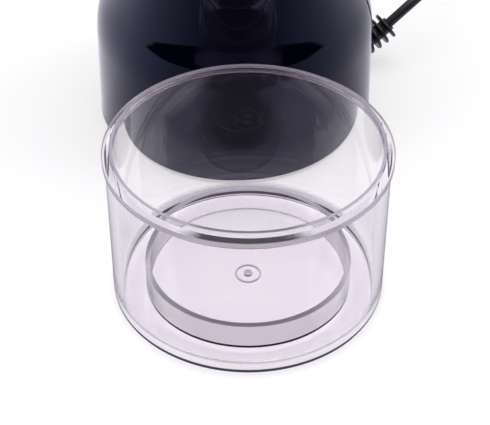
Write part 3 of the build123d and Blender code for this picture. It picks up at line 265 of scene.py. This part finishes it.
def addBuckle():
    buckle = addBox("tie_buckle", tieBuckle["size"], cordTie["top"])
    startEdit(buckle, "FACE", lambda face: face.normal.z > alongAxis)
    bpy.ops.mesh.inset(thickness=tieBuckle["frame"] * millimetre, depth=0)
    sink = {"value": (0, 0, -tieBuckle["sunk"] * millimetre)}
    bpy.ops.mesh.extrude_region_move(TRANSFORM_OT_translate=sink)
    bpy.ops.object.mode_set(mode="OBJECT")
    soften(buckle, tieBuckle)
    return buckle


def placeOnCoil(piece):
    angle = math.radians(cordTie["angle"])
    centreX, centreY = mainsCord["coilCentre"]
    piece.rotation_euler = (0, 0, angle)
    piece.location = (
        (centreX + cordTie["meanTurn"] * math.cos(angle)) * millimetre,
        (centreY + cordTie["meanTurn"] * math.sin(angle)) * millimetre,
        0,
    )
    settle(piece)
    bpy.ops.object.shade_smooth_by_angle(angle=smoothAngle)


tiePiece = addTie()
placeOnCoil(tiePiece)
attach(tiePiece, "base")
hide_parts("coil_tie")
bucklePiece = addBuckle()
placeOnCoil(bucklePiece)
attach(bucklePiece, "base")

print("tie and buckle done")


# button spring: the same coil behind the cap, merged and smooth shaded
buttonSpring = {
    "fixedEnd": -36.0,
    "travel": 2.5,
    "mergeWithin": 0.001,
}


def addSpring():
    piece = bpy.data.objects.new("spring_coil", nodes["button_spring"].data.copy())
    bpy.context.collection.objects.link(piece)
    pick(piece)
    bpy.ops.object.mode_set(mode="EDIT")
    bpy.ops.mesh.select_all(action="SELECT")
    bpy.ops.mesh.remove_doubles(threshold=buttonSpring["mergeWithin"] * millimetre)
    bpy.ops.object.mode_set(mode="OBJECT")
    bpy.ops.object.shade_smooth_by_angle(angle=smoothAngle)
    return piece


springPiece = addSpring()
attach(springPiece, "base")
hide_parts("button_spring")
springSlot = nodes["button_spring"].material_slots[0].material.name.split(".")[0]
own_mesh(springPiece)
print("button spring done")


# finishes
surface = {
    "grainDetail": 4.0,
    "patchDetail": 2.0,
    "lineDetail": 3.0,
    "patchScale": 40.0,
    "metalPatches": 60.0,
    "bandPatches": 90.0,
    "bandTop": 0.8,
    "glowDepth": 1.5,
    "lacquerRough": 0.15,
}


def newFinish(name):
    material = bpy.data.materials.new(name)
    material.use_nodes = True
    tree = material.node_tree
    shader = tree.nodes["Principled BSDF"]
    place = tree.nodes.new("ShaderNodeTexCoord")
    return material, tree, shader, place.outputs["Object"]


def setInputs(shader, values):
    for name, value in values.items():
        shader.inputs[name].default_value = value


def noise(tree, place, scale, detail):
    texture = tree.nodes.new("ShaderNodeTexNoise")
    setInputs(texture, {"Scale": scale, "Detail": detail})
    tree.links.new(place, texture.inputs["Vector"])
    return texture.outputs["Fac"]


def ramp(tree, value, low, high, fromLow=0.3, fromHigh=0.7):
    node = tree.nodes.new("ShaderNodeMapRange")
    setInputs(node, {"From Min": fromLow, "From Max": fromHigh, "To Min": low, "To Max": high})
    tree.links.new(value, node.inputs["Value"])
    return node.outputs["Result"]


def beyond(tree, value, edge):  # 0 before the edge, 1 after it
    return ramp(tree, value, 0.0, 1.0, *edge)


def within(tree, value, edge=(0.0, 1.0)):  # 1 before the edge, 0 after it
    return ramp(tree, value, 1.0, 0.0, *edge)


def combine(tree, operation, first, second):
    node = tree.nodes.new("ShaderNodeMath")
    node.operation = operation
    for socket, value in zip(node.inputs, (first, second)):
        if isinstance(value, float):
            socket.default_value = value
        else:
            tree.links.new(value, socket)
    return node.outputs["Value"]


def product(tree, first, second):
    return combine(tree, "MULTIPLY", first, second)


def larger(tree, first, second):
    return combine(tree, "MAXIMUM", first, second)


def smaller(tree, first, second):
    return combine(tree, "MINIMUM", first, second)


def mixed(tree, factor, first, second):  # the first where the factor is 0, the second where it is 1
    node = tree.nodes.new("ShaderNodeMix")
    node.data_type = "FLOAT" if isinstance(first, float) else "RGBA"
    tree.links.new(factor, node.inputs["Factor"])
    for name, value in (("A", first), ("B", second)):
        if isinstance(value, float):
            node.inputs[name].default_value = value
        elif isinstance(value, tuple):
            node.inputs[name].default_value = rgba(value)
        else:
            tree.links.new(value, node.inputs[name])
    return node.outputs["Result"]


def mixShaders(tree, factor, first, second):  # and on to the material's output
    node = tree.nodes.new("ShaderNodeMixShader")
    for index, value in enumerate((factor, first, second)):
        tree.links.new(value, node.inputs[index])
    tree.links.new(node.outputs["Shader"], tree.nodes["Material Output"].inputs["Surface"])


def axes(tree, place):
    split = tree.nodes.new("ShaderNodeSeparateXYZ")
    tree.links.new(place, split.inputs["Vector"])
    return [split.outputs[name] for name in "XYZ"]


def bump(tree, shader, value, height):
    node = tree.nodes.new("ShaderNodeBump")
    setInputs(node, {"Distance": height * millimetre, "Strength": 1.0})
    tree.links.new(value, node.inputs["Height"])
    tree.links.new(node.outputs["Normal"], shader.inputs["Normal"])


def toneAndGloss(tree, shader, look, tone, gloss):
    tree.links.new(mixed(tree, tone, look["colour"], look["second"]), shader.inputs["Base Color"])
    tree.links.new(ramp(tree, gloss, *look["rough"]), shader.inputs["Roughness"])


def moulded(name, look):  # plastics and rubbers: a fine skin, uneven gloss, slight tone changes
    material, tree, shader, place = newFinish(name)
    patchScale = look.get("patchScale", surface["patchScale"])
    patches = noise(tree, place, patchScale, surface["patchDetail"])
    toneAndGloss(tree, shader, look, ramp(tree, patches, 0.0, 1.0), patches)
    grain = noise(tree, place, look["grainScale"], surface["grainDetail"])
    bump(tree, shader, grain, look["grainHeight"])
    setInputs(shader, {
        "Specular IOR Level": look.get("specular", 0.5),
        "Specular Tint": rgba(look.get("sheenTint", white)),
        "Subsurface Weight": look.get("glow", 0.0),
        "Subsurface Scale": surface["glowDepth"] * millimetre,
    })
    return material


def metal(name, look):  # brushed, turned or cast: fine lines stretched along or round the piece
    material, tree, shader, place = newFinish(name)
    stretched = tree.nodes.new("ShaderNodeMapping")
    stretched.inputs["Scale"].default_value = look["lines"]
    tree.links.new(place, stretched.inputs["Vector"])
    lines = noise(tree, stretched.outputs["Vector"], 1.0, surface["lineDetail"])
    patches = noise(tree, place, surface["metalPatches"], surface["patchDetail"])
    toneAndGloss(tree, shader, look, ramp(tree, patches, 0.0, 1.0), lines)
    bump(tree, shader, lines, look["lineHeight"])
    setInputs(shader, {"Metallic": 1.0})
    return material


def banded(name, look):  # wound wire or stacked sheets: ridges along one axis
    material, tree, shader, place = newFinish(name)
    bands = tree.nodes.new("ShaderNodeTexWave")
    bands.wave_type = "BANDS"
    bands.bands_direction = look["axis"]
    setInputs(bands, {"Scale": look["bandScale"], "Distortion": look["uneven"], "Detail": 1.0})
    tree.links.new(place, bands.inputs["Vector"])
    ridges = bands.outputs["Fac"]
    patches = noise(tree, place, surface["bandPatches"], surface["patchDetail"])
    tone = ramp(tree, ridges, 0.0, 1.0, 0.0, surface["bandTop"])
    toneAndGloss(tree, shader, look, tone, patches)
    bump(tree, shader, ridges, look["ridge"])
    setInputs(shader, {
        "Metallic": look["metallic"],
        "Coat Weight": look.get("coat", 0.0),
        "Coat Roughness": surface["lacquerRough"],
    })
    return material


def clearPlastic(name, look):  # glass-like; shadow rays and rays caught in an edge go straight on
    material, tree, shader, place = newFinish(name)
    x, y, height = axes(tree, place)
    flat = tree.nodes.new("ShaderNodeCombineXYZ")
    tree.links.new(x, flat.inputs["X"])
    tree.links.new(y, flat.inputs["Y"])
    distance = tree.nodes.new("ShaderNodeVectorMath")
    distance.operation = "DISTANCE"
    tree.links.new(flat.outputs["Vector"], distance.inputs[0])
    distance.inputs[1].default_value = look["axis"]
    fromAxis = distance.outputs["Value"]

    lip = beyond(tree, height, look["lipFrom"])
    flange = beyond(tree, fromAxis, look["flangeFrom"])
    ringHeight = product(
        tree, beyond(tree, height, look["ringFrom"]), within(tree, height, look["ringTo"])
    )
    ringTop = product(tree, ringHeight, within(tree, fromAxis, look["ringWithin"]))
    nearAxis = within(tree, fromAxis, look["gateWithin"])
    gate = product(tree, beyond(tree, height, look["gateFrom"]), nearAxis)
    rim = larger(tree, larger(tree, lip, flange), larger(tree, ringTop, gate))
    outer = beyond(tree, fromAxis, look["footFrom"])
    foot, footward, milky = (
        product(tree, outer, within(tree, height, look[edge]))
        for edge in ("footTo", "footwardTo", "milkyTo")
    )
    satinAndPaintedEdges = larger(tree, rim, foot)  # the moulded edges are less polished than the wall, and the rim's grey is painted reflection of the dark surroundings refracted in it

    # the body colour turns a little darker and pinker toward the outer foot
    body = mixed(tree, footward, look["tint"], look["footwardTint"])
    # painted shade: along the outer foot the colour turns to a near-black line, standing in for the
    # dark line at the lid's bottom edge
    edges = mixed(tree, foot, look["rimPaintedReflection"], look["footPaintedShade"])
    tree.links.new(mixed(tree, satinAndPaintedEdges, body, edges), shader.inputs["Base Color"])
    patches = noise(tree, place, look["patchScale"], surface["patchDetail"])
    polish = ramp(tree, patches, *look["rough"])
    rough = larger(tree, polish, product(tree, satinAndPaintedEdges, look["satinRough"]))
    tree.links.new(rough, shader.inputs["Roughness"])
    clear = 1.0
    for mask, clarity in ((rim, "satinClear"), (foot, "footShadeClear"), (milky, "milkyClear")):
        clear = smaller(tree, clear, ramp(tree, mask, 1.0, look[clarity], 0.0, 1.0))
    tree.links.new(clear, shader.inputs["Transmission Weight"])
    bump(tree, shader, noise(tree, place, look["waveScale"], 1.0), look["waveHeight"])
    setInputs(shader, {"IOR": look["ior"], "Specular IOR Level": look["specular"]})

    rays = tree.nodes.new("ShaderNodeLightPath")
    caught = combine(tree, "GREATER_THAN", rays.outputs["Ray Depth"], look["straightAfter"])
    straight = larger(tree, rays.outputs["Is Shadow Ray"], caught)
    through = tree.nodes.new("ShaderNodeBsdfTransparent")
    through.inputs["Color"].default_value = rgba(look["shadow"])
    mixShaders(tree, straight, shader.outputs["BSDF"], through.outputs["BSDF"])
    return material


finishes = {
    "housing_gloss": moulded("housingGloss", {
        "colour": (0.0006, 0.0006, 0.0036), "second": (0.0008, 0.0008, 0.0042),
        "rough": (0.03, 0.05), "grainScale": 300.0, "grainHeight": 0.0006, "patchScale": 25.0,
        "specular": 0.46, "sheenTint": (0.56, 0.55, 1.0),
    }),
    "button_gloss": moulded("buttonGloss", {
        "colour": (0.0006, 0.0006, 0.0036), "second": (0.0009, 0.0009, 0.0044),
        "rough": (0.04, 0.07), "grainScale": 400.0, "grainHeight": 0.0006,
        "specular": 0.46, "sheenTint": (0.56, 0.55, 1.0),
    }),
    "clear_lid": clearPlastic("clearLid", {
        "tint": (0.965, 0.948, 0.970), "shadow": (0.80, 0.77, 0.81), "ior": 1.49, "specular": 0.28,
        "rough": (0.0, 0.02), "patchScale": 30.0, "waveScale": 60.0, "waveHeight": 0.002,
        "axis": (0.0023, -0.1085, 0.0), "straightAfter": 5.5,
        "lipFrom": (0.0590, 0.0593), "flangeFrom": (0.0476, 0.0478),
        "ringFrom": (0.0116, 0.0118), "ringTo": (0.0120, 0.0122), "ringWithin": (0.0370, 0.0375),
        "gateFrom": (0.00225, 0.00235), "gateWithin": (0.0050, 0.0055),
        # painted reflection: the rim's grey-violet stands in for dark surroundings refracted in the
        # moulded edges
        "rimPaintedReflection": (0.42, 0.38, 0.46), "satinRough": 0.30, "satinClear": 0.70,
        "footFrom": (0.0463, 0.0466), "footTo": (0.0018, 0.0022),
        # painted shade: the foot's near-black line stands in for the dark line at the lid's bottom
        # edge
        "footPaintedShade": (0.06, 0.05, 0.09), "footShadeClear": 0.05,
        # the body turns a little darker and pinker toward the outer foot
        "footwardTo": (0.0010, 0.0100), "footwardTint": (0.95, 0.92, 0.95),
        "milkyTo": (0.0042, 0.0066), "milkyClear": 0.10,
    }),
    "black_plastic": moulded("blackPlastic", {
        "colour": (0.008, 0.008, 0.009), "second": (0.012, 0.012, 0.013),
        "rough": (0.32, 0.45), "grainScale": 1500.0, "grainHeight": 0.012,
    }),
    "cover_plastic": moulded("coverPlastic", {
        "colour": (0.009, 0.009, 0.010), "second": (0.014, 0.014, 0.015),
        "rough": (0.5, 0.65), "grainScale": 1100.0, "grainHeight": 0.03,
    }),
    "black_rubber": moulded("blackRubber", {
        "colour": (0.006, 0.006, 0.007), "second": (0.012, 0.012, 0.012),
        "rough": (0.6, 0.8), "grainScale": 1800.0, "grainHeight": 0.02, "specular": 0.3,
    }),
    "cord_rubber": moulded("cordRubber", {
        "colour": (0.003, 0.003, 0.005), "second": (0.006, 0.006, 0.008),
        "rough": (0.28, 0.4), "grainScale": 900.0, "grainHeight": 0.01, "patchScale": 120.0,
    }),
    "cup_steel": metal("cupSteel", {
        "colour": (0.58, 0.58, 0.59), "second": (0.66, 0.66, 0.67),
        "lines": (40.0, 40.0, 9000.0), "rough": (0.16, 0.30), "lineHeight": 0.002,
    }),
    "blade_steel": metal("bladeSteel", {
        "colour": (0.55, 0.56, 0.58), "second": (0.66, 0.67, 0.69),
        "lines": (300.0, 6000.0, 300.0), "rough": (0.14, 0.28), "lineHeight": 0.002,
    }),
    "shaft_steel": metal("shaftSteel", {
        "colour": (0.42, 0.43, 0.45), "second": (0.52, 0.53, 0.55),
        "lines": (80.0, 80.0, 5000.0), "rough": (0.18, 0.32), "lineHeight": 0.003,
    }),
    "zinc_steel": metal("zincSteel", {
        "colour": (0.56, 0.57, 0.55), "second": (0.68, 0.69, 0.64),
        "lines": (900.0, 900.0, 900.0), "rough": (0.22, 0.38), "lineHeight": 0.004,
    }),
    "lamination": banded("lamination", {
        "colour": (0.10, 0.105, 0.115), "second": (0.24, 0.25, 0.27), "axis": "Z",
        "bandScale": 620.0, "uneven": 0.3, "ridge": 0.08, "rough": (0.35, 0.5), "metallic": 0.9,
    }),
    "copper_wire": banded("copperWire", {
        "colour": (0.30, 0.075, 0.02), "second": (0.68, 0.24, 0.075), "axis": "DIAGONAL",
        "bandScale": 520.0, "uneven": 1.2, "ridge": 0.22, "rough": (0.18, 0.3), "metallic": 1.0,
        "coat": 0.6,
    }),
    "copper_bar": metal("copperBar", {
        "colour": (0.62, 0.26, 0.13), "second": (0.74, 0.36, 0.19),
        "lines": (60.0, 60.0, 4000.0), "rough": (0.2, 0.34), "lineHeight": 0.003,
    }),
    "bronze": metal("bronze", {
        "colour": (0.42, 0.26, 0.10), "second": (0.55, 0.36, 0.15),
        "lines": (1500.0, 1500.0, 1500.0), "rough": (0.35, 0.5), "lineHeight": 0.01,
    }),
    "cast_alloy": metal("castAlloy", {
        "colour": (0.46, 0.47, 0.49), "second": (0.58, 0.59, 0.61),
        "lines": (700.0, 700.0, 700.0), "rough": (0.36, 0.55), "lineHeight": 0.02,
    }),
    "carbon": moulded("carbon", {
        "colour": (0.018, 0.018, 0.020), "second": (0.036, 0.036, 0.040),
        "rough": (0.4, 0.6), "grainScale": 2500.0, "grainHeight": 0.012,
    }),
    "phenolic": moulded("phenolic", {
        "colour": (0.075, 0.024, 0.010), "second": (0.12, 0.042, 0.018),
        "rough": (0.25, 0.4), "grainScale": 900.0, "grainHeight": 0.008, "patchScale": 160.0,
    }),
    "nylon": moulded("nylon", {
        "colour": (0.68, 0.66, 0.60), "second": (0.76, 0.75, 0.69),
        "rough": (0.38, 0.5), "grainScale": 1200.0, "grainHeight": 0.008, "glow": 0.15,
    }),
    "silicone": moulded("silicone", {
        "colour": (0.52, 0.52, 0.49), "second": (0.60, 0.60, 0.57),
        "rough": (0.42, 0.55), "grainScale": 1500.0, "grainHeight": 0.008, "glow": 0.2,
    }),
    "switch_red": moulded("switchRed", {
        "colour": (0.30, 0.022, 0.016), "second": (0.38, 0.034, 0.024),
        "rough": (0.35, 0.5), "grainScale": 1300.0, "grainHeight": 0.01,
    }),
    "brass_pin": metal("brassPin", {
        "colour": (0.62, 0.45, 0.16), "second": (0.74, 0.56, 0.24),
        "lines": (4000.0, 300.0, 300.0), "rough": (0.16, 0.28), "lineHeight": 0.002,
    }),
    "capacitor_blue": moulded("capacitorBlue", {
        "colour": (0.025, 0.12, 0.38), "second": (0.035, 0.15, 0.45),
        "rough": (0.15, 0.28), "grainScale": 500.0, "grainHeight": 0.01,
    }),
    "wire_skin": moulded("wireSkin", {
        "colour": (0.30, 0.32, 0.34), "second": (0.38, 0.40, 0.42),
        "rough": (0.35, 0.5), "grainScale": 1400.0, "grainHeight": 0.006,
    }),
}

for node in nodes.values():
    for place in node.material_slots:
        slotName = place.material.name.split(".")[0]
        if slotName in finishes:
            place.material = finishes[slotName]
        else:
            print("no finish for", node.name, slotName)
for piece, slotName in (
    (cordPiece, "cord_rubber"),
    (tiePiece, "black_rubber"),
    (bucklePiece, "black_plastic"),
    (springPiece, springSlot),
):
    piece.data.materials.clear()
    piece.data.materials.append(finishes[slotName])
print("finishes set:", len(finishes))


# floor, room and lamps
studio = {
    "floorHalf": 4.0,
    "floorDrop": 0.3,
    "floorColour": (0.93, 0.93, 0.935),
    "floorRough": 0.8,
    "floorSpecular": 0.1,
    "floorOwnWhite": (0.48, 0.88, 0.17, 0.40),
    # painted reflection: how bright the floor is painted where the gloss mirrors it behind and
    # beside the lid
    "floorThroughLid": (0.09, 1.0, -0.092, -0.07),
    "floorThroughSides": (0.09, 1.0, 0.030, 0.042),
    "floorPastLid": (0.1, 1.0, -0.170, -0.158),
    # painted reflection: the floor's brightness and bluish tint where the gloss mirrors it, and
    # where that bright floor ends past the table's front
    "paintedReflectionFront": (0.12, 1.12, -1.0, 0.0),
    "paintedReflectionSides": (1.15, 0.85, -1.0, 1.0),
    "paintedReflectionTint": (0.90, 0.88, 1.0),
    "toneThroughLid": 0.5,
    "tableEdge": (0.68, 0.84),
    "roomBack": (0.80, 0.79, 0.84),
    "roomFront": (0.004, 0.004, 0.006),
    "roomThroughLid": (0.30, 0.27, 0.32),
    "roomFill": (1.0, 0.98, 1.0),
    "roomTop": (0.55, 0.55, 0.58),
    "sideLift": 0.5,
    "frontEdge": (0.06, 0.14),
    "topEdge": (-0.10, 0.30),
    "lampAim": (0, 0, 0.05),
}

lamps = {
    "keyLeft": {"place": (-0.75, -0.15, 0.95), "size": (0.7, 0.7), "watts": 4.4},
    "keyRight": {"place": (0.85, 0.05, 0.85), "size": (0.7, 0.7), "watts": 5.0},
    "overhead": {"place": (0.0, 0.15, 1.25), "size": (1.2, 0.9), "watts": 6.0},
}


def addFloor():
    clearSelection()
    floorPlace = (0, 0, -studio["floorDrop"] * millimetre)
    bpy.ops.mesh.primitive_plane_add(size=2 * studio["floorHalf"], location=floorPlace)
    floor = bpy.context.object
    floor.name = "floor"
    material, tree, shader, place = newFinish("floorPaper")
    setInputs(shader, {
        "Base Color": rgba(studio["floorColour"]),
        "Roughness": studio["floorRough"],
        "Specular IOR Level": studio["floorSpecular"],
    })
    x, y, _ = axes(tree, place)
    length = tree.nodes.new("ShaderNodeVectorMath")
    length.operation = "LENGTH"
    tree.links.new(place, length.inputs["Vector"])
    reach = length.outputs["Value"]
    rays = tree.nodes.new("ShaderNodeLightPath")
    inLid = smaller(tree, rays.outputs["Transmission Depth"], 1.0)
    mirrored = smaller(tree, rays.outputs["Glossy Depth"], 1.0)

    # painted reflection: as the gloss mirrors it, the floor is painted brighter to the back and to
    # the left, and dark past the table's front
    ahead = combine(tree, "DIVIDE", y, reach)
    across = combine(tree, "DIVIDE", x, reach)
    paintedReflection = product(
        tree, ramp(tree, ahead, *studio["paintedReflectionFront"]), ramp(tree, across, *studio["paintedReflectionSides"])
    )
    onTable = within(tree, reach, studio["tableEdge"])
    fade = product(tree, paintedReflection, larger(tree, onTable, beyond(tree, ahead, studio["frontEdge"])))

    # painted reflection: as it is mirrored behind the lid, the floor is painted dim before the base
    # and bright at the lid's sides
    fromMiddle = combine(tree, "ABSOLUTE", x, 0.0)
    sides = ramp(tree, fromMiddle, *studio["floorThroughSides"])
    besideLid = product(tree, sides, ramp(tree, y, *studio["floorPastLid"]))
    underLid = larger(tree, ramp(tree, y, *studio["floorThroughLid"]), besideLid)
    outside = product(tree, fade, within(tree, inLid))
    fade = combine(tree, "ADD", outside, product(tree, inLid, underLid))

    lit = tree.nodes.new("ShaderNodeEmission")
    tree.links.new(mixed(tree, mirrored, 1.0, fade), lit.inputs["Strength"])
    # painted reflection tint: the floor takes a bluish tone only where the gloss mirrors it, half as
    # much behind the lid
    tinted = product(tree, mirrored, ramp(tree, inLid, 1.0, studio["toneThroughLid"], 0.0, 1.0))
    tree.links.new(mixed(tree, tinted, white, studio["paintedReflectionTint"]), lit.inputs["Color"])
    seen = larger(tree, rays.outputs["Is Camera Ray"], rays.outputs["Is Transmission Ray"])
    ownWhite = ramp(tree, reach, *studio["floorOwnWhite"])  # the shadow stays strong near the object
    share = larger(tree, product(tree, seen, ownWhite), mirrored)
    mixShaders(tree, share, shader.outputs["BSDF"], lit.outputs["Emission"])
    floor.data.materials.append(material)
    clearSelection()


def addRoom():
    world = bpy.data.worlds.new("room")
    bpy.context.scene.world = world
    world.use_nodes = True
    tree = world.node_tree
    background = tree.nodes["Background"]
    place = tree.nodes.new("ShaderNodeTexCoord")
    _, y, z = axes(tree, place.outputs["Generated"])
    rays = tree.nodes.new("ShaderNodeLightPath")
    inLid = smaller(tree, rays.outputs["Transmission Depth"], 1.0)
    soft = smaller(tree, rays.outputs["Diffuse Depth"], 1.0)
    behind = beyond(tree, y, studio["frontEdge"])
    lifted = combine(tree, "ADD", z, product(tree, y, studio["sideLift"]))
    front = mixed(tree, inLid, studio["roomFront"], studio["roomThroughLid"])
    front = mixed(tree, soft, front, studio["roomFill"])  # only the gloss mirrors the dark front
    side = mixed(tree, behind, front, studio["roomBack"])
    whole = mixed(tree, beyond(tree, lifted, studio["topEdge"]), side, studio["roomTop"])
    seen = mixed(tree, rays.outputs["Is Camera Ray"], whole, white)
    tree.links.new(seen, background.inputs["Color"])
    background.inputs["Strength"].default_value = 1.0


def addLamp(name, lamp):
    clearSelection()
    bpy.ops.object.light_add(type="AREA", location=lamp["place"])
    light = bpy.context.object
    light.name = name
    light.data.shape = "RECTANGLE"
    light.data.size, light.data.size_y = lamp["size"]
    light.data.energy = lamp["watts"]
    aim = Vector(studio["lampAim"]) - Vector(lamp["place"])
    light.rotation_euler = aim.to_track_quat("-Z", "Y").to_euler()


addFloor()
addRoom()
for lampName, lamp in lamps.items():
    addLamp(lampName, lamp)
bpy.context.scene.view_settings.view_transform = "Standard"
print("floor, room and lamps done")

bpy.context.view_layer.update()
